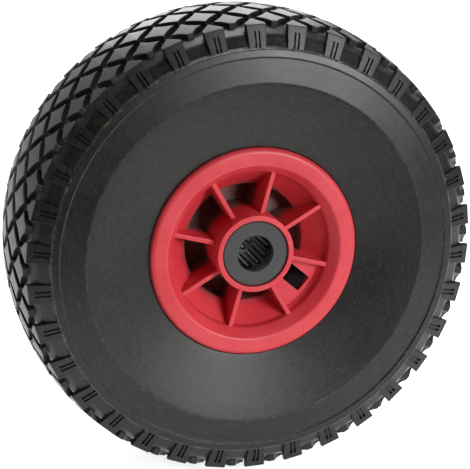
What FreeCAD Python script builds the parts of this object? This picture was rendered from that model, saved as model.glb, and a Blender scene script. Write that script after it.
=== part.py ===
import FreeCAD, Part
import math
import os
from FreeCAD import Vector

# Puncture-proof wheel for hand trucks and garden carts. A solid foam tyre sits
# on a one-piece moulded rim, and a roller bearing runs in the rim's hub.
# Frame: millimetres, origin at the wheel's centre, +Y along the axle, +Z up.
# The face with the valve shelf looks along -Y. Angles go from +X towards +Z.
# A name with HALF gives a distance from the wheel's middle plane.

# Tread
TYRE_DIAMETER = 260.0
LUG_COUNT = 34              # shoulder lugs on each side, one to a pitch
CROWN_DROP = 3.7            # how far the crown falls from its middle to a lug's outer corner
HALF_SHOULDER = 36.0        # to a lug's outer corner
TREAD_DEPTH = 3.2
GROOVE_WIDTH = 4.0
ROW_SPACING = 12.5          # along the axle, from one row of diamonds to the next
BLOCK_DRAFT = 8.0           # degrees, walls of the diamonds
OUTER_DIAMOND_WIDTH = 17.4  # round the wheel
HALF_TIPS = 31.5            # to the flat tips of the outer diamonds, which face the shoulder
TIP_WIDTH = 4.6
LUG_WIDTH = 11.6
HALF_LUG_POINTS = 26.4
LUG_SIDE_LENGTH = 2.5       # straight sides of a lug's tread face
LUG_FACE_LEAN = 17.6        # degrees, a lug's side face against the wheel's plane

# Shoulder and sidewall
HALF_CHANNEL_TOP = 30.5     # where the channels between lugs turn down
HALF_CHANNEL_BEND = 35.4
HALF_CHANNEL_FOOT = 38.6
HALF_RING = 40.8            # to the flat ring at the feet of the lugs
HALF_TYRE = 42.5            # to the widest circle
RING_DEPTH = 16.4           # from the crown's middle down to the ring
RING_WIDTH = 4.4
FOOT_RISE = 0.8             # from the ring up to a channel's foot
BEND_RISE = 6.0             # from a channel's foot up to its bend
CREASE_DROP = 13.9          # from the ring's inner edge down to the widest circle
SIDEWALL_BULGE = 1.3        # outwards, halfway between the widest circle and the rim
LIP_RECESS = 3.0            # the tyre's edge below the flange's face
BURIED = 4.0                # how deep the tread reaches into the carcass

# Rim
RIM_WIDTH = 72.0
FLANGE_RADIUS = 58.7
FLANGE_INNER_RADIUS = 49.3
FLANGE_THICKNESS = 4.8
FLANGE_BEVEL = 2.6
RIM_WALL = 3.6
BARREL_RADIUS = 44.4        # inside of the bead seat
RAMP_RECESS = 10.0          # top of the ramp below the flange's face
WELL_RADIUS = 33.8          # inside of the well
HALF_WELL = 14.0
WEB_THICKNESS = 3.6
RIB_COUNT = 8
RIB_ANGLE = 29.0            # degrees, first rib
RIB_RECESS = 6.0            # ribs' front edges below the flange's face
RIB_THICKNESS = 2.3         # at the front edge
RIB_FOOT_THICKNESS = 3.1    # at the web
SHELF_POCKET = 6            # the valve shelf fills the pocket after this rib
SHELF_RECESS = 12.0         # below the flange's face
SHELF_THICKNESS = 2.4
WINDOW_WIDTH = 9.8
WINDOW_LENGTH = 14.0
WINDOW_MARGIN = 2.2         # from the ramp to the window's end
WINDOW_ANGLE = 24.5         # degrees, from the rib before the shelf to the window's middle
WINDOW_TURN = -5.2          # degrees, the window's sides against its own radius
HUB_LENGTH = 75.0
HUB_RADIUS = 21.7

# Bearing
AXLE_RADIUS = 10.0
AXLE_PLAY = 0.05            # radial, between an axle and the rings of rollers
ROLLER_DIAMETER = 4.0
ROLLER_LENGTH = 23.0
ROLLERS_PER_ROW = 12
RACE_PLAY = 0.05            # radial, between the rollers and the sleeve
SLEEVE_WALL = 2.4
CAGE_INNER_PLAY = 0.5       # radial, between an axle and the cage
CAGE_OUTER_PLAY = 0.5       # radial, between the cage and the sleeve
CAGE_END_PLAY = 0.3
CAGE_MIDDLE_RING = 5.0
SLOT_PLAY = 0.2             # between a roller and its slot in the cage, all round
SLOT_LEAN = 20.0            # degrees, slot walls close in towards the axle
CAP_RADIUS = 18.6
CAP_THICKNESS = 4.2
CAP_SINK = 1.0              # the cap's face below the hub's end
CAP_BORE_PLAY = 0.25        # radial, between an axle and the cap
CAP_BEVEL = 0.9

# Fits
BEAD_GAP = 0.2              # between tyre and rim
PRESS_GAP = 0.02            # between pieces pressed together

AXIS = Vector(0, 1, 0)
CENTRE = Vector(0, 0, 0)


def polygon_face(points):
    return Part.Face(Part.makePolygon(points + points[:1]))


def revolved(outline, angle=360.0):
    """Solid of revolution about the axle, from (radius, y) corners."""
    return polygon_face([Vector(r, y, 0) for r, y in outline]).revolve(CENTRE, AXIS, angle)


def both_sides(near, middle=()):
    """The near side's corners, those of the middle, and the near side's mirror images."""
    return near + list(middle) + [(r, -y) for r, y in reversed(near)]


def tube(inner, outer, half_length):
    return revolved(both_sides([(outer, -half_length), (inner, -half_length)]))


def turned(shape, degrees):
    """Copy turned about the axle, from +X towards +Z."""
    copy = shape.copy()
    copy.rotate(CENTRE, AXIS, -degrees)
    return copy


def ring_of(shape, count, first=0.0):
    return [turned(shape, first + 360.0 * i / count) for i in range(count)]


def far_copies(shapes):
    return [shape.mirror(CENTRE, AXIS) for shape in shapes]


# Tyre

CROWN_RADIUS = TYRE_DIAMETER / 2
HALF_PITCH = math.pi * CROWN_RADIUS / LUG_COUNT
HALF_PITCH_ANGLE = 180.0 / LUG_COUNT


def crown(y):
    """Radius of the tread's outer surface at a place along the axle."""
    return CROWN_RADIUS - CROWN_DROP * (y / HALF_SHOULDER) ** 2


def tread_floor(y):
    return crown(y) - TREAD_DEPTH


def rim_seat(gap):
    """Near half of the line at a gap outside the rim's well, ramp and barrel."""
    seat = BARREL_RADIUS + RIM_WALL + gap
    well = WELL_RADIUS + RIM_WALL + gap
    ramp_y = RIM_WIDTH / 2 - RAMP_RECESS
    slope = math.atan2(BARREL_RADIUS - WELL_RADIUS, ramp_y - HALF_WELL)
    shift = (RIM_WALL + gap) * math.tan(slope / 2)
    back = RIM_WIDTH / 2 - FLANGE_THICKNESS - gap
    return [(well, shift - HALF_WELL), (seat, shift - ramp_y), (seat, -back)]


def ring_radius():
    """Outer radius of the flat ring at the feet of the lugs."""
    return CROWN_RADIUS - RING_DEPTH


def carcass():
    """Sidewalls and bead of the tyre, under the tread's floor."""
    lip = FLANGE_RADIUS + BEAD_GAP
    lip_y = RIM_WIDTH / 2 - LIP_RECESS
    back = RIM_WIDTH / 2 - FLANGE_THICKNESS - BEAD_GAP
    ring_inside = ring_radius() - RING_WIDTH
    crease = ring_inside - CREASE_DROP
    slope = (HALF_TYRE - HALF_RING) / CREASE_DROP
    return revolved(both_sides(rim_seat(BEAD_GAP) + [
        (lip, -back),
        (lip, -lip_y),
        ((lip + crease) / 2, -(lip_y + HALF_TYRE) / 2 - SIDEWALL_BULGE),
        (crease, -HALF_TYRE),
        (ring_inside + BURIED, -HALF_RING + slope * BURIED),
    ]))


def tread_base():
    """Ring of flat facets, two to a pitch, that the tread blocks stand on."""
    foot = ring_radius() + FOOT_RISE
    outline = both_sides([
        (ring_radius() - RING_WIDTH - BURIED, -HALF_RING),
        (ring_radius(), -HALF_RING),
        (foot, -HALF_CHANNEL_FOOT),
        (foot + BEND_RISE, -HALF_CHANNEL_BEND),
        (tread_floor(HALF_CHANNEL_TOP), -HALF_CHANNEL_TOP),
        (tread_floor(2 * ROW_SPACING), -2 * ROW_SPACING),
        (tread_floor(ROW_SPACING), -ROW_SPACING),
    ], [(tread_floor(0), 0)])
    start = [Vector(r, y, 0) for r, y in outline]
    turn = FreeCAD.Rotation(AXIS, -HALF_PITCH_ANGLE)
    end = [turn.multVec(point) for point in start]
    faces = []
    for i in range(len(outline)):
        facet = polygon_face([start[i - 1], start[i], end[i], end[i - 1]])
        faces += ring_of(facet, 2 * LUG_COUNT)
    return Part.Solid(Part.Shell(faces))


def grown(polygon, distance):
    """A convex polygon, counter-clockwise, with each side moved outwards."""
    lines = []
    for i, (x, y) in enumerate(polygon):
        x2, y2 = polygon[(i + 1) % len(polygon)]
        length = math.hypot(x2 - x, y2 - y)
        a, b = (y2 - y) / length, (x - x2) / length
        lines.append((a, b, a * x + b * y + distance))
    corners = []
    for i, (a2, b2, c2) in enumerate(lines):
        a, b, c = lines[i - 1]
        det = a * b2 - b * a2
        corners.append(((c * b2 - c2 * b) / det, (a * c2 - c * a2) / det))
    return corners


def prism(polygon, base, top, draft):
    """Block over a polygon of (round the wheel, along the axle), wider at its base."""
    spread = (top - base) * math.tan(math.radians(draft))
    low = [Vector(base, y, x) for x, y in grown(polygon, spread)]
    high = [Vector(top, y, x) for x, y in polygon]
    faces = [polygon_face(low), polygon_face(high)]
    for i in range(len(polygon)):
        faces.append(polygon_face([low[i - 1], low[i], high[i], high[i - 1]]))
    return Part.Solid(Part.Shell(faces))


def block(polygon, section, draft=0.0):
    """Prism over a polygon, cut to a section of (radius, y) corners."""
    bar = polygon_face([Vector(r, y, -HALF_PITCH) for r, y in section])
    bar = bar.extrude(Vector(0, 0, 2 * HALF_PITCH))
    base = min(r for r, y in section)
    return prism(polygon, base, CROWN_RADIUS, draft).common(bar).Solids[0]


def diamond_reach():
    """From a diamond's middle to its corners before and behind it."""
    return HALF_PITCH - GROOVE_WIDTH / math.sqrt(2)


def flat_top(y):
    """Radius at the middle of a diamond's flat top, whose corners reach the crown."""
    return math.sqrt(crown(y) ** 2 - diamond_reach() ** 2)


def diamond(middle):
    """Diamond between four grooves."""
    along = diamond_reach()
    across = ROW_SPACING - GROOVE_WIDTH / math.sqrt(2)
    polygon = [(along, middle), (0, middle + across), (-along, middle), (0, middle - across)]
    near, far = middle - ROW_SPACING, middle + ROW_SPACING
    section = [(flat_top(y), y) for y in (near, middle, far)]
    base = tread_floor(far) - BURIED
    return block(polygon, section + [(base, far), (base, near)], BLOCK_DRAFT)


def outer_diamond():
    """Diamond next to the far shoulder, with its outer tip cut flat."""
    middle = 2 * ROW_SPACING
    near = middle - ROW_SPACING
    along, tip = OUTER_DIAMOND_WIDTH / 2, TIP_WIDTH / 2
    point = near + GROOVE_WIDTH / math.sqrt(2)
    polygon = [(along, middle), (tip, HALF_TIPS), (-tip, HALF_TIPS), (-along, middle), (0, point)]
    section = [(flat_top(y), y) for y in (near, middle, HALF_SHOULDER)]
    base = tread_floor(HALF_SHOULDER) - BURIED
    return block(polygon, section + [(base, HALF_SHOULDER), (base, near)], BLOCK_DRAFT)


def shoulder_lug():
    """House-shaped lug of the far shoulder, with a side face down to the ring."""
    half = LUG_WIDTH / 2
    eaves = HALF_SHOULDER - LUG_SIDE_LENGTH
    polygon = [(half, eaves), (half, HALF_TYRE), (-half, HALF_TYRE), (-half, eaves)]
    polygon.append((0, HALF_LUG_POINTS))
    foot = ring_radius() - RING_WIDTH / 4
    lean = (crown(HALF_SHOULDER) - foot) * math.tan(math.radians(LUG_FACE_LEAN))
    section = [
        (crown(HALF_LUG_POINTS), HALF_LUG_POINTS),
        (crown(HALF_SHOULDER), HALF_SHOULDER),
        (foot, HALF_SHOULDER + lean),
        (foot, HALF_CHANNEL_BEND),
        (tread_floor(HALF_SHOULDER) - BURIED, HALF_LUG_POINTS),
    ]
    return block(polygon, section)


def tread_blocks():
    """Every block of the tread: five rows of diamonds between two rows of lugs."""
    side = ring_of(diamond(ROW_SPACING), LUG_COUNT, HALF_PITCH_ANGLE)
    side += ring_of(outer_diamond(), LUG_COUNT)
    side += ring_of(shoulder_lug(), LUG_COUNT, HALF_PITCH_ANGLE)
    return ring_of(diamond(0), LUG_COUNT) + side + far_copies(side)


def tyre():
    return carcass().multiFuse([tread_base()] + tread_blocks()).Solids[0]


# Rim

def rim_body():
    """Flanges, barrel, well, web and hub, without the ribs."""
    face = RIM_WIDTH / 2
    cap_seat = cap_inside() - PRESS_GAP
    return revolved(both_sides(rim_seat(0) + [
        (FLANGE_RADIUS, -face + FLANGE_THICKNESS),
        (FLANGE_RADIUS, -face + FLANGE_BEVEL),
        (FLANGE_RADIUS - FLANGE_BEVEL, -face),
        (FLANGE_INNER_RADIUS, -face),
        (BARREL_RADIUS, -face + RIB_RECESS),
        (BARREL_RADIUS, -face + RAMP_RECESS),
        (WELL_RADIUS, -HALF_WELL),
        (WELL_RADIUS, -WEB_THICKNESS / 2),
        (HUB_RADIUS, -WEB_THICKNESS / 2),
        (HUB_RADIUS, -HUB_LENGTH / 2),
        (CAP_RADIUS + PRESS_GAP, -HUB_LENGTH / 2),
        (CAP_RADIUS + PRESS_GAP, -cap_seat),
        (sleeve_radius() + PRESS_GAP, -cap_seat),
    ]))


def wall_middle(y):
    """Radius of the middle of the rim's wall, at a distance from the middle plane."""
    slope = (BARREL_RADIUS - WELL_RADIUS) / (RIM_WIDTH / 2 - RAMP_RECESS - HALF_WELL)
    inside = WELL_RADIUS + (y - HALF_WELL) * slope
    return min(BARREL_RADIUS, max(WELL_RADIUS, inside)) + RIM_WALL / 2


def near_pocket(front, back):
    """Outline between hub and barrel that reaches into both walls."""
    hub = (HUB_RADIUS + CAP_RADIUS) / 2
    turns = [y for y in (RIM_WIDTH / 2 - RAMP_RECESS, HALF_WELL) if back < y < front]
    outer = [(wall_middle(y), -y) for y in [front] + turns + [back]]
    return [(hub, -front)] + outer + [(hub, -back)]


def rib():
    """One rib of the near side, thinner towards its front edge."""
    front = RIM_WIDTH / 2 - RIB_RECESS
    thin, thick = RIB_THICKNESS / 2, RIB_FOOT_THICKNESS / 2
    section = [(0, thick), (0, -thick), (-front, -thin), (-front, thin)]
    bar = polygon_face([Vector(0, y, z) for y, z in section])
    bar = bar.extrude(Vector(FLANGE_RADIUS, 0, 0))
    return bar.common(revolved(near_pocket(front, 0)))


def valve_shelf():
    """Shelf across one near pocket, open at a window for a valve."""
    front = RIM_WIDTH / 2 - SHELF_RECESS
    shelf = revolved(near_pocket(front, front - SHELF_THICKNESS), -360.0 / RIB_COUNT)
    window = Part.makeBox(WINDOW_LENGTH, 2 * SHELF_THICKNESS, WINDOW_WIDTH)
    window.translate(Vector(-WINDOW_LENGTH / 2, -SHELF_THICKNESS, -WINDOW_WIDTH / 2))
    window.rotate(CENTRE, AXIS, -WINDOW_TURN)
    middle = wall_middle(front) - (RIM_WALL + WINDOW_LENGTH) / 2 - WINDOW_MARGIN
    window.translate(Vector(middle, SHELF_THICKNESS / 2 - front, 0))
    shelf = shelf.cut(turned(window, WINDOW_ANGLE))
    return turned(shelf, RIB_ANGLE + SHELF_POCKET * 360.0 / RIB_COUNT)


def rim():
    ribs = ring_of(rib(), RIB_COUNT, RIB_ANGLE)
    whole = rim_body().multiFuse(ribs + far_copies(ribs) + [valve_shelf()])
    return whole.removeSplitter().Solids[0]


# Bearing

def pitch_radius():
    return AXLE_RADIUS + AXLE_PLAY + ROLLER_DIAMETER / 2


def race_radius():
    return pitch_radius() + ROLLER_DIAMETER / 2 + RACE_PLAY


def sleeve_radius():
    return race_radius() + SLEEVE_WALL


def cap_inside():
    """From the middle plane to the inner face of an end cap."""
    return HUB_LENGTH / 2 - CAP_SINK - CAP_THICKNESS


def sleeve():
    """Steel tube that the rollers run in."""
    return tube(race_radius(), sleeve_radius(), cap_inside() - PRESS_GAP)


def end_cap():
    """Near end cap, a bevelled ring that shuts the bearing in."""
    face = HUB_LENGTH / 2 - CAP_SINK
    bore = AXLE_RADIUS + CAP_BORE_PLAY
    return revolved([
        (bore, -cap_inside()),
        (bore, -face),
        (CAP_RADIUS - CAP_BEVEL, -face),
        (CAP_RADIUS, -face + CAP_BEVEL),
        (CAP_RADIUS, -cap_inside()),
    ])


def row_start():
    """From the middle plane to the inner ends of a row of rollers."""
    return CAGE_MIDDLE_RING / 2 + SLOT_PLAY


def cage_slot():
    """Cutter for a slot of the far row: its walls lean in under the roller."""
    lean = math.radians(SLOT_LEAN)
    middle = (ROLLER_DIAMETER / 2 + SLOT_PLAY) / math.cos(lean)
    spread = ROLLER_DIAMETER * math.tan(lean)
    inner, outer = pitch_radius() - ROLLER_DIAMETER, pitch_radius() + ROLLER_DIAMETER
    narrow, wide = middle - spread, middle + spread
    corners = [(inner, -narrow), (outer, -wide), (outer, wide), (inner, narrow)]
    face = polygon_face([Vector(r, CAGE_MIDDLE_RING / 2, z) for r, z in corners])
    return face.extrude(Vector(0, ROLLER_LENGTH + 2 * SLOT_PLAY, 0))


def roller_cage():
    """Moulded cage: end rings, a middle ring and a bar between each two rollers."""
    inner = AXLE_RADIUS + CAGE_INNER_PLAY
    outer = race_radius() - CAGE_OUTER_PLAY
    slots = ring_of(cage_slot(), ROLLERS_PER_ROW)
    whole = tube(inner, outer, cap_inside() - CAGE_END_PLAY)
    return whole.cut(slots + far_copies(slots)).Solids[0]


def rollers():
    """Name and solid of every roller: row a is the near one, row b the far one."""
    start = Vector(pitch_radius(), row_start(), 0)
    roller = Part.makeCylinder(ROLLER_DIAMETER / 2, ROLLER_LENGTH, start, AXIS)
    far = ring_of(roller, ROLLERS_PER_ROW)
    named = []
    for row, solids in (("a", far_copies(far)), ("b", far)):
        named += [(f"roller_{row}{i + 1:02d}", solid) for i, solid in enumerate(solids)]
    return named


def main():
    os.makedirs("parts", exist_ok=True)
    cap = end_cap()
    pieces = [
        ("tyre", tyre()),
        ("rim", rim()),
        ("bearing_sleeve", sleeve()),
        ("roller_cage", roller_cage()),
        ("end_cap_front", cap),
        ("end_cap_rear", cap.mirror(CENTRE, AXIS)),
    ]
    for name, shape in pieces + rollers():
        shape.exportStep(f"parts/{name}.step")


main()
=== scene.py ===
import math

import bpy
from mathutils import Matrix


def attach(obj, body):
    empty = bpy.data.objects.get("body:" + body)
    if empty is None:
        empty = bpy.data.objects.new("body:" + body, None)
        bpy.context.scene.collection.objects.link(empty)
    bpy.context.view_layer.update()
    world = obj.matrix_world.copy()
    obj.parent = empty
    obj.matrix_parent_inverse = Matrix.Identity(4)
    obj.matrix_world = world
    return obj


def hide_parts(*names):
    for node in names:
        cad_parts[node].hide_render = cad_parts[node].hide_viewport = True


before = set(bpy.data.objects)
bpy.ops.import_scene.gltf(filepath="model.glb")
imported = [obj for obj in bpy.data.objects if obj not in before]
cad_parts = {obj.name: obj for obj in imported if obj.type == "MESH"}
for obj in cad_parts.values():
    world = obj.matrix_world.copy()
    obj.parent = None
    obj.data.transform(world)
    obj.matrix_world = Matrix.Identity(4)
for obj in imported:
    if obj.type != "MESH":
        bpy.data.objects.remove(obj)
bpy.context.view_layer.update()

# Rim. One injection moulding of red polypropylene: two flanges, a barrel with a
# deep well, a web across the middle, the hub, and eight ribs on each side. One
# pocket has a shelf with a window for a tyre valve, which this wheel leaves empty.
MM = 0.001  # sizes are in mm and angles in degrees, unless a comment says otherwise
RIM_STEPS = 180
RIM_PROFILE = [  # radius, place along the axle, rounding of that corner
    (49.3, -36.0, 1.2), (58.7, -36.0, 3.0), (58.7, -31.2, 1.0), (48.0, -31.2, 0.8),
    (48.0, -24.6, 1.5), (37.4, -12.4, 1.5), (37.4, 12.4, 1.5), (48.0, 24.6, 1.5),
    (48.0, 31.2, 0.8), (58.7, 31.2, 1.0), (58.7, 36.0, 3.0), (49.3, 36.0, 1.2),
    (44.6, 30.0, 1.0), (44.2, 26.0, 0.8), (33.8, 14.0, 0.8), (33.4, 1.8, 1.5),
    (21.7, 1.8, 1.5), (21.7, 37.5, 0.6), (18.7, 37.5, 0.4), (18.7, 32.3, 0.0),
    (16.6, 32.3, 0.0), (16.6, -32.3, 0.0), (18.7, -32.3, 0.0), (18.7, -37.5, 0.4),
    (21.7, -37.5, 0.6), (21.7, -1.8, 1.5), (33.4, -1.8, 1.5), (33.8, -14.0, 0.8),
    (40.4, -21.6, 0.0), (44.2, -26.0, 0.8), (44.6, -30.0, 1.0),
]
BEVEL_WIDTH = 1.4  # width of a corner's bevel for each mm of its rounding
RIB_COUNT = 8
RIB_PITCH = 360.0 / RIB_COUNT
FIRST_RIB = 29.0
RIB_TOP = 30.0
RIB_OUTLINE = [  # radius, distance from the middle plane
    (20.2, RIB_TOP), (46.0, RIB_TOP), (46.0, 25.5), (35.4, 13.5), (35.4, 0.0), (20.2, 0.0),
]
RIB_THICKNESS = 3.1
RIB_DRAFT = 0.84  # thickness at the top, as a share of that at the web
RIB_BEVEL = 0.45
SHELF_OUTLINE = [(20.2, -24.0), (44.0, -24.0), (42.0, -21.6), (20.2, -21.6)]
SHELF_STEPS = 16
SHELF_START = FIRST_RIB + 6 * RIB_PITCH
WINDOW = (14.0, 9.8)
WINDOW_CUT = 9.0
WINDOW_RADIUS = 33.5
WINDOW_ANGLE = 24.5
WINDOW_TURN = -5.2
NEAR = 0.1  # how far a point may lie from the plane it is picked by


def selected(piece):
    """Makes the piece the only one selected, and the active one."""
    bpy.ops.object.select_all(action="DESELECT")
    bpy.context.view_layer.objects.active = piece
    piece.select_set(True)


def edit_mode(piece):
    selected(piece)
    bpy.ops.object.mode_set(mode="EDIT")


def object_mode():
    bpy.ops.object.mode_set(mode="OBJECT")


def pick(piece, test, kind="vertices"):
    """Selects the vertices, edges or faces all of whose points, in mm, pass the test."""
    object_mode()
    mesh = piece.data
    for parts in (mesh.vertices, mesh.edges, mesh.polygons):
        parts.foreach_set("select", [False] * len(parts))
    points = [v.co / MM for v in mesh.vertices]
    chosen = {"vertices": mesh.vertices, "edges": mesh.edges, "faces": mesh.polygons}[kind]
    for part in chosen:
        ends = [points[part.index]] if kind == "vertices" else [points[i] for i in part.vertices]
        part.select = all(test(*end) for end in ends)
    bpy.ops.object.mode_set(mode="EDIT")
    bpy.ops.mesh.select_mode(type={"vertices": "VERT", "edges": "EDGE", "faces": "FACE"}[kind])


def drawn(name, corners):
    """A closed wire through the corners: one vertex, extruded from corner to corner."""
    bpy.ops.object.select_all(action="DESELECT")
    bpy.ops.mesh.primitive_plane_add(size=MM)
    piece = bpy.context.active_object
    piece.name = piece.data.name = name
    edit_mode(piece)
    bpy.ops.mesh.select_mode(type="VERT")
    bpy.ops.mesh.select_all(action="SELECT")
    bpy.ops.mesh.merge(type="CENTER")
    here = (0.0, 0.0, 0.0)
    for index, corner in enumerate(corners):
        step = [(a - b) * MM for a, b in zip(corner, here)]
        if index == 0:
            bpy.ops.transform.translate(value=step)
        else:
            bpy.ops.mesh.extrude_region_move(TRANSFORM_OT_translate={"value": step})
        here = corner
    first = corners[0]
    pick(piece, lambda *p: min(math.dist(p, first), math.dist(p, here)) < 1e-3)
    bpy.ops.mesh.edge_face_add()
    return piece


def extruded(depth):
    """Fills the wire that is being edited and pulls its face by (x, y, z)."""
    bpy.ops.mesh.select_all(action="SELECT")
    bpy.ops.mesh.edge_face_add()
    bpy.ops.mesh.extrude_region_move(TRANSFORM_OT_translate={"value": [d * MM for d in depth]})


def round_corner(piece, corner, width, segments=4):
    pick(piece, lambda *p: math.dist(p, corner) < 1e-3)
    bpy.ops.mesh.bevel(offset=width * MM, offset_type="WIDTH", segments=segments, affect="VERTICES")


def bevelled(width):
    """Rounds the edges that are selected."""
    bpy.ops.mesh.bevel(offset=width * MM, segments=2, affect="EDGES")


def closed(piece):
    """Merges doubles and turns every face outwards."""
    bpy.ops.mesh.select_all(action="SELECT")
    bpy.ops.mesh.remove_doubles(threshold=0.002 * MM)
    bpy.ops.mesh.normals_make_consistent(inside=False)
    object_mode()


def lathed(name, profile, steps, angle=360.0):
    """A closed (radius, place, rounding) profile spun about the axle."""
    piece = drawn(name, [(r, y, 0.0) for r, y, _ in profile])
    for r, y, rounding in profile:
        if rounding:
            round_corner(piece, (r, y, 0.0), rounding * BEVEL_WIDTH)
    bpy.ops.mesh.select_all(action="SELECT")
    if angle < 360.0:
        bpy.ops.mesh.edge_face_add()
    bpy.ops.mesh.spin(steps=steps, angle=math.radians(angle), center=(0, 0, 0), axis=(0, 1, 0))
    closed(piece)
    return piece


def repeated(piece, count):
    """Copies of the whole mesh, evenly round the axle."""
    edit_mode(piece)
    bpy.ops.mesh.select_all(action="SELECT")
    bpy.ops.mesh.spin(steps=count - 1, angle=math.radians(360.0 * (count - 1) / count),
                      dupli=True, center=(0, 0, 0), axis=(0, 1, 0))
    object_mode()


def turned(piece, degrees):
    """Turns the whole mesh about the axle, from +X towards +Z."""
    edit_mode(piece)
    bpy.ops.mesh.select_all(action="SELECT")
    bpy.ops.transform.rotate(value=math.radians(degrees), orient_axis="Y", center_override=(0, 0, 0))
    object_mode()


def applied(piece, kind, **settings):
    """Adds a modifier, sets it and applies it."""
    selected(piece)
    modifier = piece.modifiers.new(kind.title(), kind)
    for name, value in settings.items():
        setattr(modifier, name, value)
    bpy.ops.object.modifier_apply(modifier=modifier.name)


def cut(piece, cutter):
    applied(piece, "BOOLEAN", operation="DIFFERENCE", object=cutter)
    bpy.data.objects.remove(cutter)


def on_both_sides(piece):
    applied(piece, "MIRROR", use_axis=(False, True, False))
    edit_mode(piece)
    closed(piece)


def joined(pieces, name):
    bpy.ops.object.select_all(action="DESELECT")
    for piece in pieces:
        piece.select_set(True)
    bpy.context.view_layer.objects.active = pieces[0]
    bpy.ops.object.join()
    pieces[0].name = pieces[0].data.name = name
    return pieces[0]


def smoothed(piece, degrees=30.0):
    selected(piece)
    bpy.ops.object.shade_smooth_by_angle(angle=math.radians(degrees))
    applied(piece, "WEIGHTED_NORMAL", keep_sharp=True)


wheel_rim = lathed("wheel_rim", RIM_PROFILE, RIM_STEPS)

rib = drawn("rib", [(r, -y, -RIB_THICKNESS / 2) for r, y in RIB_OUTLINE])
extruded((0, 0, RIB_THICKNESS))
pick(rib, lambda x, y, z: y < NEAR - RIB_TOP)
bpy.ops.transform.resize(value=(1, 1, RIB_DRAFT), center_override=(0, 0, 0))
pick(rib, lambda x, y, z: y < NEAR - RIB_TOP, "edges")
bevelled(RIB_BEVEL)
closed(rib)
turned(rib, FIRST_RIB)
repeated(rib, RIB_COUNT)
on_both_sides(rib)

shelf = lathed("shelf", [(r, y, 0.0) for r, y in SHELF_OUTLINE], SHELF_STEPS, RIB_PITCH)
bpy.ops.object.select_all(action="DESELECT")
bpy.ops.mesh.primitive_cube_add(size=1, scale=(WINDOW[0] * MM, WINDOW_CUT * MM, WINDOW[1] * MM))
window = bpy.context.active_object
window.rotation_euler.y = math.radians(-WINDOW_TURN)
bpy.ops.object.transform_apply(location=False, rotation=True, scale=True)
window.location = (WINDOW_RADIUS * MM, SHELF_OUTLINE[0][1] * MM, 0)
bpy.ops.object.transform_apply(location=True, rotation=False, scale=False)
turned(window, WINDOW_ANGLE)
cut(shelf, window)
turned(shelf, SHELF_START)

wheel_rim = joined([wheel_rim, rib, shelf], "wheel_rim")
smoothed(wheel_rim)
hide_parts("rim")
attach(wheel_rim, "wheel")


def linear(hex_colour):
    """An sRGB hex colour as linear RGBA."""
    parts = [int(hex_colour[i:i + 2], 16) / 255 for i in (1, 3, 5)]
    return [p / 12.92 if p <= 0.04045 else ((p + 0.055) / 1.055) ** 2.4 for p in parts] + [1.0]


def add(tree, kind, links=None, **settings):
    """Adds a node, with its settings, its input values and the sockets linked to it."""
    node = tree.nodes.new("ShaderNode" + kind)
    for name, value in settings.items():
        setattr(node, name, value)
    for name, value in (links or {}).items():
        if isinstance(value, bpy.types.NodeSocket):
            tree.links.new(value, node.inputs[name])
        else:
            node.inputs[name].default_value = value
    return node


def new_material(name):
    material = bpy.data.materials.new(name)
    material.use_nodes = True
    material.node_tree.nodes.clear()
    return material, material.node_tree


def shaded(ramp, stops):
    """Gives a colour ramp its (position, hex colour) stops."""
    elements = ramp.color_ramp.elements
    while len(elements) < len(stops):
        elements.new(1.0)
    for element, (position, hex_colour) in zip(elements, stops):
        element.position = position
        element.color = linear(hex_colour)


# Injection-moulded polypropylene, a waxy satin red. Flow marks 30 mm long cloud
# the colour, and the mould's spark-eroded skin gives a grain of 0.9 mm, coarser
# than the real one so that it shows. Painted shade: deeper than about 18 mm below
# the flange the red turns a dull grey-brown towards the web, with a ragged edge.
RED_IOR = 1.49
red_plastic, tree = new_material("red polypropylene, moulded")
place = add(tree, "TexCoord").outputs["Object"]
clouds = add(tree, "TexNoise", {
    "Vector": place, "Scale": 1 / (30 * MM), "Detail": 4.0, "Roughness": 0.6})
colour = add(tree, "ValToRGB", {"Fac": clouds.outputs["Fac"]})
shaded(colour, [(0.35, "#CE343E"), (0.70, "#DA444D")])
parts = add(tree, "SeparateXYZ", {"Vector": place})
depth = add(tree, "Math", {0: parts.outputs["Y"]}, operation="ABSOLUTE")
drift = add(tree, "TexNoise", {"Vector": place, "Scale": 1 / (14 * MM), "Detail": 4.0})
ragged = add(tree, "MapRange", {
    "Value": drift.outputs["Fac"], "From Min": 0.35, "From Max": 0.65,
    "To Min": -2 * MM, "To Max": 2 * MM})
shade_depth_with_edge = add(tree, "Math", {0: depth.outputs[0], 1: ragged.outputs["Result"]}, operation="ADD")
# Painted shade for the deep pockets, strongest near the web.
painted_pocket_shade = add(tree, "MapRange", {
    "Value": shade_depth_with_edge.outputs[0], "From Min": 10 * MM, "From Max": 18 * MM,
    "To Min": 0.90, "To Max": 0.0}, interpolation_type="SMOOTHSTEP")
red_with_painted_shade = add(tree, "MixRGB", {
    "Fac": painted_pocket_shade.outputs["Result"], "Color1": colour.outputs["Color"], "Color2": linear("#6A5B58")})
gloss = add(tree, "MapRange", {"Value": clouds.outputs["Fac"], "To Min": 0.36, "To Max": 0.52})
grain = add(tree, "TexNoise", {"Vector": place, "Scale": 1 / (0.9 * MM), "Detail": 2.0})
skin = add(tree, "Bump", {"Height": grain.outputs["Fac"], "Strength": 0.10, "Distance": 0.2 * MM})
shader = add(tree, "BsdfPrincipled", {
    "Base Color": red_with_painted_shade.outputs["Color"], "Roughness": gloss.outputs["Result"], "IOR": RED_IOR,
    "Subsurface Weight": 0.05, "Subsurface Radius": (3 * MM, 1 * MM, 1 * MM),
    "Subsurface Scale": 1.0, "Normal": skin.outputs["Normal"]})
add(tree, "OutputMaterial", {"Surface": shader.outputs[0]})
wheel_rim.data.materials.append(red_plastic)
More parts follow.
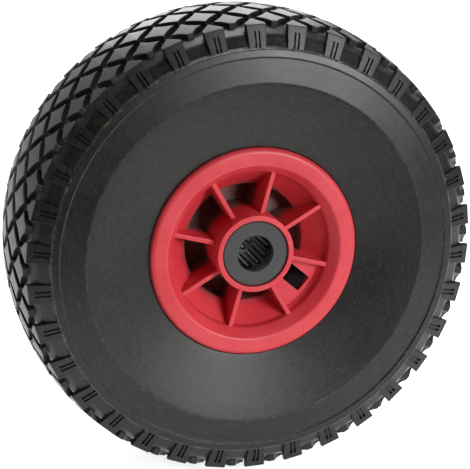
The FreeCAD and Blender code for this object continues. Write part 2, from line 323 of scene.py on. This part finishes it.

# Painted shade: the closed pocket behind the shelf is given a near-black matt red
# in place of the dark it lies in; its roughness varies in patches of 8 mm.
painted_shade_behind_shelf, tree = new_material("red polypropylene in painted shade behind the shelf")
place = add(tree, "TexCoord").outputs["Object"]
drift = add(tree, "TexNoise", {"Vector": place, "Scale": 1 / (8 * MM), "Detail": 4.0})
gloss = add(tree, "MapRange", {"Value": drift.outputs["Fac"], "To Min": 0.7, "To Max": 0.9})
shader = add(tree, "BsdfPrincipled", {
    "Base Color": linear("#120C0C"), "Roughness": gloss.outputs["Result"], "IOR": RED_IOR})
add(tree, "OutputMaterial", {"Surface": shader.outputs[0]})
wheel_rim.data.materials.append(painted_shade_behind_shelf)
# Painted shade: faces behind the shelf, between its two ribs, take the near-black material.
RIB_MARGIN = 2.5
for face in wheel_rim.data.polygons:
    x, y, z = face.center / MM
    past_rib = (math.degrees(math.atan2(z, x)) - SHELF_START) % 360.0
    behind_shelf = -21.4 < y < 0.0 and 21.0 < math.hypot(x, z) < 43.0
    between_ribs = RIB_MARGIN < past_rib < RIB_PITCH - RIB_MARGIN
    face.material_index = 1 if behind_shelf and between_ribs else 0


# Tyre. Closed-cell polyurethane foam, moulded in one piece with its own black
# skin and stretched over the rim: no air, so nothing to puncture. Five rows of
# diamonds run between two rows of shoulder lugs, 34 to a turn.
PITCHES = 34
CROWN = 129.65  # radius in the middle, just under 130 so that it stays in the solids' box
DROP = 3.7  # how much lower the tread is at the shoulder
SHOULDER = 36.0
HALF_PITCH = math.pi * CROWN / PITCHES
ROW = 12.5
GROOVE = 4.0
TREAD_FLOOR = 126.45  # radius between the blocks, in the middle
TYRE_HALF = [  # near side, from the bead outwards: radius, place along the axle, rounding
    (37.6, -12.4, 1.0), (48.2, -24.5, 1.0), (48.2, -31.0, 0.0), (58.9, -31.0, 0.0),
    (58.9, -33.2, 0.6), (66.5, -35.1, 6.0), (80.0, -38.6, 6.0), (90.0, -41.2, 4.0),
    (95.3, -42.5, 1.2), (108.8, -40.8, 0.4), (109.4, -41.6, 0.4), (113.2, -40.9, 0.5),
    (113.9, -40.1, 0.3), (114.3, -38.7, 0.8), (120.3, -35.4, 1.6), (124.0, -30.5, 2.5),
    (124.7, -25.0, 0.0), (126.0, -12.5, 0.0),
]
STEPS_TO_PITCH = 8
BLOCK_FOOT = 5.0
BLOCK_DRAFT = 1.045
BLOCK_BEVEL = 0.4
BLOCK_CORNER = 0.35
SHORT_SIDE = 6.0
SIDE_DIP = 0.7
OUTER_DIP = 0.9
DIP_SHAPE = ((0.2, 0.64), (0.5, 1.0), (0.8, 0.64))  # share of the side, share of the dip
DIAMOND_REACH = HALF_PITCH - GROOVE / math.sqrt(2)
DIAMOND_HALF = ROW - GROOVE / math.sqrt(2)
MIDDLE_DIAMOND = [  # place round the tread, place along the axle
    (DIAMOND_REACH, 0), (0, DIAMOND_HALF), (-DIAMOND_REACH, 0), (0, -DIAMOND_HALF),
]
SIDE_DIAMOND = [
    (DIAMOND_REACH, ROW), (0, ROW + DIAMOND_HALF), (-DIAMOND_REACH, ROW), (0, ROW - DIAMOND_HALF),
]
OUTER_DIAMOND = [(8.7, 25.0), (1.7, 31.5), (-1.7, 31.5), (-8.7, 25.0), (0, 15.4)]


def crown(y):
    """Radius of the tread at that place along the axle."""
    return CROWN - DROP * (y / SHOULDER) ** 2


def hollowed(corners, dip):
    """The corners with three points on each long side between them, dipping inwards."""
    middle = [sum(c[i] for c in corners) / len(corners) for i in (0, 1)]
    points = []
    for index, (z, y) in enumerate(corners):
        z2, y2 = corners[(index + 1) % len(corners)]
        side = math.hypot(z2 - z, y2 - y)
        points.append((z, y))
        if side < SHORT_SIDE:
            continue
        out_z, out_y = (y2 - y) / side, (z - z2) / side
        if out_z * (z - middle[0]) + out_y * (y - middle[1]) < 0:
            out_z, out_y = -out_z, -out_y
        for share, depth in DIP_SHAPE:
            points.append((z + (z2 - z) * share - out_z * dip * depth,
                           y + (y2 - y) * share - out_y * dip * depth))
    return points


def bent_round(piece):
    """Bends a block that lies on the plane X = 0 round the crown, at -X."""
    bpy.context.view_layer.update()
    applied(piece, "SIMPLE_DEFORM", deform_method="BEND", deform_axis="Y",
            angle=piece.dimensions.z / (CROWN * MM))
    edit_mode(piece)
    bpy.ops.mesh.select_all(action="SELECT")
    bpy.ops.transform.translate(value=(-CROWN * MM, 0, 0))
    closed(piece)


def tread_block(name, corners, phase, row, dip):
    """A block with hollow sides and a rounded brim, tilted with the crown under its row."""
    piece = drawn(name, [(0.0, y - row, z) for z, y in hollowed(corners, dip)])
    for z, y in corners:
        round_corner(piece, (0.0, y - row, z), BLOCK_CORNER, 2)
    extruded((BLOCK_FOOT, 0, 0))
    bpy.ops.transform.resize(value=(1, BLOCK_DRAFT, BLOCK_DRAFT))
    pick(piece, lambda x, y, z: x < NEAR, "edges")
    bevelled(BLOCK_BEVEL)
    pick(piece, lambda x, y, z: x < NEAR / 5, "faces")
    bpy.ops.mesh.poke()
    closed(piece)
    piece.rotation_euler.z = -math.atan(2 * DROP * row / SHOULDER ** 2)
    piece.location = ((CROWN - crown(row)) * MM, row * MM, phase * 2 * HALF_PITCH * MM)
    bpy.ops.object.transform_apply(location=True, rotation=True, scale=False)
    bent_round(piece)
    return piece


middle_block = tread_block("middle_diamond", MIDDLE_DIAMOND, 0.0, 0.0, SIDE_DIP)
side_block = tread_block("side_diamond", SIDE_DIAMOND, 0.5, ROW, SIDE_DIP)
outer_block = tread_block("outer_diamond", OUTER_DIAMOND, 0.0, 2 * ROW, OUTER_DIP)

# A shoulder lug is drawn on the crown and pulled down the side, leaning outwards.
# Two slots run down its outer face, moulded in with the rest.
LUG_HALF = 5.8
LUG_INNER = 33.5
LUG_TOP = [  # place round the tread, place along the axle
    (LUG_HALF, LUG_INNER), (LUG_HALF, SHOULDER), (-LUG_HALF, SHOULDER), (-LUG_HALF, LUG_INNER),
    (0.0, 26.4),
]
LUG_FOOT = 17.0
LUG_INNER_FOOT = 8.0
LUG_ANGLE = 17.6
LUG_LEAN = math.tan(math.radians(LUG_ANGLE))
LUG_TAPER = 0.88
LUG_BRIM = 6.0
LUG_BEVEL = 0.45
SLOT_WIDTH = 1.5
SLOT_LENGTH = 10.5
SLOT_DEPTH = 1.2
SLOT_SPREAD = 1.2
SLOT_PLACE = (12.2, SHOULDER + 8.5 * LUG_LEAN)
lug = drawn("shoulder_lug", [(CROWN - crown(y), y, z) for z, y in LUG_TOP])
extruded((LUG_FOOT, 0, 0))
pick(lug, lambda x, y, z: x > LUG_FOOT and y > SHOULDER - NEAR)
bpy.ops.transform.translate(value=(0, LUG_FOOT * LUG_LEAN * MM, 0))
bpy.ops.transform.resize(value=(1, 1, LUG_TAPER), center_override=(0, 0, 0))
pick(lug, lambda x, y, z: x > LUG_FOOT and y < LUG_INNER + NEAR)
bpy.ops.transform.translate(value=((LUG_INNER_FOOT - LUG_FOOT) * MM, 0, 0))
pick(lug, lambda x, y, z: x < LUG_BRIM or y > SHOULDER - NEAR, "edges")
bevelled(LUG_BEVEL)
closed(lug)
for side in (-SLOT_SPREAD, SLOT_SPREAD):
    bpy.ops.object.select_all(action="DESELECT")
    bpy.ops.mesh.primitive_cube_add(
        size=1, scale=(SLOT_LENGTH * MM, 2 * SLOT_DEPTH * MM, SLOT_WIDTH * MM))
    cutter = bpy.context.active_object
    cutter.rotation_euler.z = math.radians(LUG_ANGLE)
    cutter.location = (SLOT_PLACE[0] * MM, SLOT_PLACE[1] * MM, side * MM)
    cut(lug, cutter)
selected(lug)
lug.location.z = HALF_PITCH * MM
bpy.ops.object.transform_apply(location=True, rotation=False, scale=False)
bent_round(lug)

blocks = joined([side_block, outer_block, lug], "tread_blocks")
on_both_sides(blocks)
blocks = joined([blocks, middle_block], "tread_blocks")
repeated(blocks, PITCHES)

far_half = [(r, -y, rounding) for r, y, rounding in reversed(TYRE_HALF)]
tyre_profile = TYRE_HALF + [(TREAD_FLOOR, 0.0, 0.0)] + far_half
wheel_tyre = lathed("wheel_tyre", tyre_profile, STEPS_TO_PITCH * PITCHES)
wheel_tyre = joined([wheel_tyre, blocks], "wheel_tyre")
smoothed(wheel_tyre)
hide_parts("tyre")
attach(wheel_tyre, "wheel")


def across_axle(tree, place):
    """The place with no part along the axle, and its distance from the axle."""
    parts = add(tree, "SeparateXYZ", {"Vector": place})
    flat = add(tree, "CombineXYZ", {"X": parts.outputs["X"], "Z": parts.outputs["Z"]})
    return flat, add(tree, "VectorMath", {0: flat.outputs[0]}, operation="LENGTH").outputs["Value"]


# Polyurethane foam with a moulded skin: a satin black with a grain of 0.7 mm.
# Talc from the mould greys it in clouds 45 mm wide and in rings 1 mm wide. Rubbing
# has left scuff marks about 4 mm long and 1 mm wide. Grey specks along the band's
# raised lines and the crease are partly wear and partly painted highlight on those edges.
LINES_SCUFFED_AND_HIGHLIT = [  # radius, half width, strength
    (113.6, 0.9, 0.90), (109.3, 0.6, 0.50), (95.3, 1.1, 0.35),
]
foam, tree = new_material("black polyurethane foam, moulded skin")
place = add(tree, "TexCoord").outputs["Object"]
flat, radius = across_axle(tree, place)
way = add(tree, "VectorMath", {0: flat.outputs[0]}, operation="NORMALIZE").outputs["Vector"]
ring_place = add(tree, "Math", {0: radius, 1: 1 / (1.6 * MM)}, operation="MULTIPLY")
rings = add(tree, "TexNoise", {
    "Vector": way, "W": ring_place.outputs[0], "Scale": 1.6, "Detail": 4.0, "Roughness": 0.7},
    noise_dimensions="4D")
talc = add(tree, "TexNoise", {
    "Vector": place, "Scale": 1 / (45 * MM), "Detail": 5.0, "Roughness": 0.6})
both = add(tree, "Mix", {0: 0.35, 2: talc.outputs["Fac"], 3: rings.outputs["Fac"]})
colour = add(tree, "ValToRGB", {"Fac": both.outputs[0]})
shaded(colour, [(0.34, "#0E0E0D"), (0.68, "#1C1C1A"), (0.80, "#34342F")])
specks = add(tree, "TexNoise", {
    "Vector": place, "Scale": 1 / (2.2 * MM), "Detail": 3.0, "Roughness": 0.7})
chafed = add(tree, "MapRange", {
    "Value": specks.outputs["Fac"], "From Min": 0.42, "From Max": 0.70, "To Min": 0.0, "To Max": 1.0})
mark_place = add(tree, "Math", {0: radius, 1: 1 / (30 * MM)}, operation="MULTIPLY")
marks = add(tree, "TexNoise", {
    "Vector": way, "W": mark_place.outputs[0], "Scale": 24.0, "Detail": 3.0, "Roughness": 0.65},
    noise_dimensions="4D")
scuffs_and_line_highlights = add(tree, "MapRange", {
    "Value": marks.outputs["Fac"], "From Min": 0.45, "From Max": 0.75,
    "To Min": 0.0, "To Max": 0.12}).outputs["Result"]
# Painted highlight, partly wear too: grey specks along the raised lines and the crease.
for line_radius, half_width, strength in LINES_SCUFFED_AND_HIGHLIT:
    off = add(tree, "Math", {0: radius, 1: line_radius * MM}, operation="SUBTRACT")
    off = add(tree, "Math", {0: off.outputs[0]}, operation="ABSOLUTE")
    near = add(tree, "MapRange", {
        "Value": off.outputs[0], "From Min": 0.0, "From Max": half_width * MM,
        "To Min": strength, "To Max": 0.0})
    line = add(tree, "Math", {
        0: near.outputs["Result"], 1: chafed.outputs["Result"]}, operation="MULTIPLY")
    scuffs_and_line_highlights = add(tree, "Math", {0: line.outputs[0], 1: scuffs_and_line_highlights}, operation="MAXIMUM").outputs[0]
scuffed_and_highlit = add(tree, "MixRGB", {
    "Fac": scuffs_and_line_highlights, "Color1": colour.outputs["Color"], "Color2": linear("#6E6D63")})
gloss = add(tree, "MapRange", {
    "Value": both.outputs[0], "From Min": 0.3, "From Max": 0.7, "To Min": 0.28, "To Max": 0.42})
grain = add(tree, "TexNoise", {"Vector": place, "Scale": 1 / (0.7 * MM), "Detail": 3.0})
skin = add(tree, "Bump", {"Height": grain.outputs["Fac"], "Strength": 0.24, "Distance": 0.2 * MM})
shader = add(tree, "BsdfPrincipled", {
    "Base Color": scuffed_and_highlit.outputs["Color"], "Roughness": gloss.outputs["Result"], "IOR": 1.5,
    "Specular IOR Level": 0.36, "Normal": skin.outputs["Normal"]})
add(tree, "OutputMaterial", {"Surface": shader.outputs[0]})
wheel_tyre.data.materials.append(foam)


# Bearing sleeve and rollers. Ground steel with its colour painted near black, as
# painted shade for the deep bore: a tube pressed into the hub, and two rows of twelve
# rollers that run on the axle inside it. The oil lies in streaks along the axle, 1.5 mm wide.
ROLLERS_TO_ROW = 12
steel_painted_dark, tree = new_material("ground steel, painted dark for the shaded bore")
place = add(tree, "TexCoord").outputs["Object"]
stretched = add(tree, "Mapping", {"Vector": place, "Scale": (1.0, 0.15, 1.0)})
oil = add(tree, "TexNoise", {
    "Vector": stretched.outputs["Vector"], "Scale": 1 / (1.5 * MM), "Detail": 3.0})
gloss = add(tree, "MapRange", {"Value": oil.outputs["Fac"], "To Min": 0.24, "To Max": 0.40})
# Painted shade: the near-black base colour stands in for the dark inside the bore.
shader = add(tree, "BsdfPrincipled", {
    "Base Color": linear("#161615"), "Metallic": 1.0, "Roughness": gloss.outputs["Result"]})
add(tree, "OutputMaterial", {"Surface": shader.outputs[0]})


def dressed(name, material):
    """Gives a carried-over node its material."""
    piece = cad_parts[name]
    piece.data.materials.clear()
    piece.data.materials.append(material)


dressed("bearing_sleeve", steel_painted_dark)
for row in "ab":
    for number in range(1, ROLLERS_TO_ROW + 1):
        dressed(f"roller_{row}{number:02d}", steel_painted_dark)


# Roller cage. Black nylon, moulded in one piece, with a window for each roller.
# Oil smeared over it, in patches of 2 mm, varies its dull shine.
nylon, tree = new_material("black nylon, oiled")
place = add(tree, "TexCoord").outputs["Object"]
smear = add(tree, "TexNoise", {"Vector": place, "Scale": 1 / (2 * MM), "Detail": 2.0})
gloss = add(tree, "MapRange", {"Value": smear.outputs["Fac"], "To Min": 0.40, "To Max": 0.60})
shader = add(tree, "BsdfPrincipled", {
    "Base Color": linear("#080808"), "Roughness": gloss.outputs["Result"], "IOR": 1.53,
    "Specular IOR Level": 0.25})
add(tree, "OutputMaterial", {"Surface": shader.outputs[0]})
dressed("roller_cage", nylon)


# End caps. Grey acetal rings pressed into the hub over each end of the bearing,
# turned on the face, with a bevelled edge. The tool left rings 0.6 mm apart, and
# handling has clouded the grey.
grey_plastic, tree = new_material("grey acetal, turned")
place = add(tree, "TexCoord").outputs["Object"]
flat, radius = across_axle(tree, place)
mark_place = add(tree, "Math", {0: radius, 1: 1 / (0.6 * MM)}, operation="MULTIPLY")
marks = add(tree, "TexNoise", {"W": mark_place.outputs[0]}, noise_dimensions="1D")
wear = add(tree, "TexNoise", {"Vector": place, "Scale": 1 / (6 * MM), "Detail": 4.0})
colour = add(tree, "ValToRGB", {"Fac": wear.outputs["Fac"]})
shaded(colour, [(0.0, "#343535"), (1.0, "#424342")])
skin = add(tree, "Bump", {"Height": marks.outputs["Fac"], "Strength": 0.15, "Distance": 0.1 * MM})
shader = add(tree, "BsdfPrincipled", {
    "Base Color": colour.outputs["Color"], "Roughness": 0.42, "IOR": 1.48,
    "Normal": skin.outputs["Normal"]})
add(tree, "OutputMaterial", {"Surface": shader.outputs[0]})
dressed("end_cap_front", grey_plastic)
dressed("end_cap_rear", grey_plastic)


# Stage, in metres. A white paper floor under the standing wheel ends 0.35 m in
# front of it, so that the satin black mirrors a dark room at the front and a
# bright one at the back. The camera and the glossy rays see the paper white.
FLOOR_SIZE = 2.4
FLOOR_MIDDLE = 0.85
bpy.ops.object.select_all(action="DESELECT")
bpy.ops.mesh.primitive_plane_add(size=1, location=(0, 0, -CROWN * MM))
ground = bpy.context.active_object
ground.name = "floor"
ground.scale = (FLOOR_SIZE, FLOOR_SIZE, 1.0)
ground.location.y = FLOOR_MIDDLE
bpy.ops.object.transform_apply(location=True, rotation=False, scale=True)
paper, tree = new_material("white paper")
ray = add(tree, "LightPath")
seen = add(tree, "Math", {
    0: ray.outputs["Is Camera Ray"], 1: ray.outputs["Is Glossy Ray"]}, operation="MAXIMUM")
lift = add(tree, "Math", {0: seen.outputs[0], 1: 0.80}, operation="MULTIPLY")
glow = add(tree, "Emission", {"Color": linear("#FFFFFF"), "Strength": lift.outputs[0]})
matt = add(tree, "BsdfDiffuse", {"Color": linear("#E6E6E6")})
lit = add(tree, "AddShader", {0: matt.outputs[0], 1: glow.outputs[0]})
add(tree, "OutputMaterial", {"Surface": lit.outputs[0]})
ground.data.materials.append(paper)

world = bpy.data.worlds.new("white room")
bpy.context.scene.world = world
world.use_nodes = True
tree = world.node_tree
tree.nodes.clear()
ray = add(tree, "LightPath")
way = add(tree, "SeparateXYZ", {"Vector": add(tree, "TexCoord").outputs["Generated"]})
depth = add(tree, "MapRange", {
    "Value": way.outputs["Y"], "From Min": -0.6, "From Max": 0.5, "To Min": 0.04, "To Max": 0.70},
    interpolation_type="SMOOTHSTEP")
strength = add(tree, "Mix", {0: ray.outputs["Is Camera Ray"], 2: depth.outputs["Result"], 3: 1.0})
room = add(tree, "Background", {"Color": linear("#FFFFFF"), "Strength": strength.outputs[0]})
add(tree, "OutputWorld", {"Surface": room.outputs[0]})


def aimed(thing):
    """Turns a lamp or the camera towards the wheel's middle."""
    thing.rotation_euler = (-thing.location).to_track_quat("-Z", "Y").to_euler()


def lamp(name, place, size, power):
    bpy.ops.object.light_add(type="AREA", location=place)
    light = bpy.context.active_object
    light.name = name
    light.data.size = size
    light.data.energy = power
    light.visible_camera = False
    aimed(light)


lamp("key", (0.60, -1.20, 0.34), 0.5, 16.0)
lamp("top", (0.15, 0.10, 1.5), 0.7, 14.0)
lamp("back", (0.30, 1.4, 0.65), 0.9, 7.0)

# The camera stands a metre away, 17 degrees to the left and 17 degrees up.
bpy.ops.object.camera_add(location=(-0.2790, -0.9141, 0.2942))
camera = bpy.context.active_object
aimed(camera)
camera.data.sensor_width = 36.0
camera.data.lens = 136.2
camera.data.shift_x = -0.0021
camera.data.shift_y = 0.0008
bpy.context.scene.camera = camera
bpy.context.scene.view_settings.view_transform = "Standard"
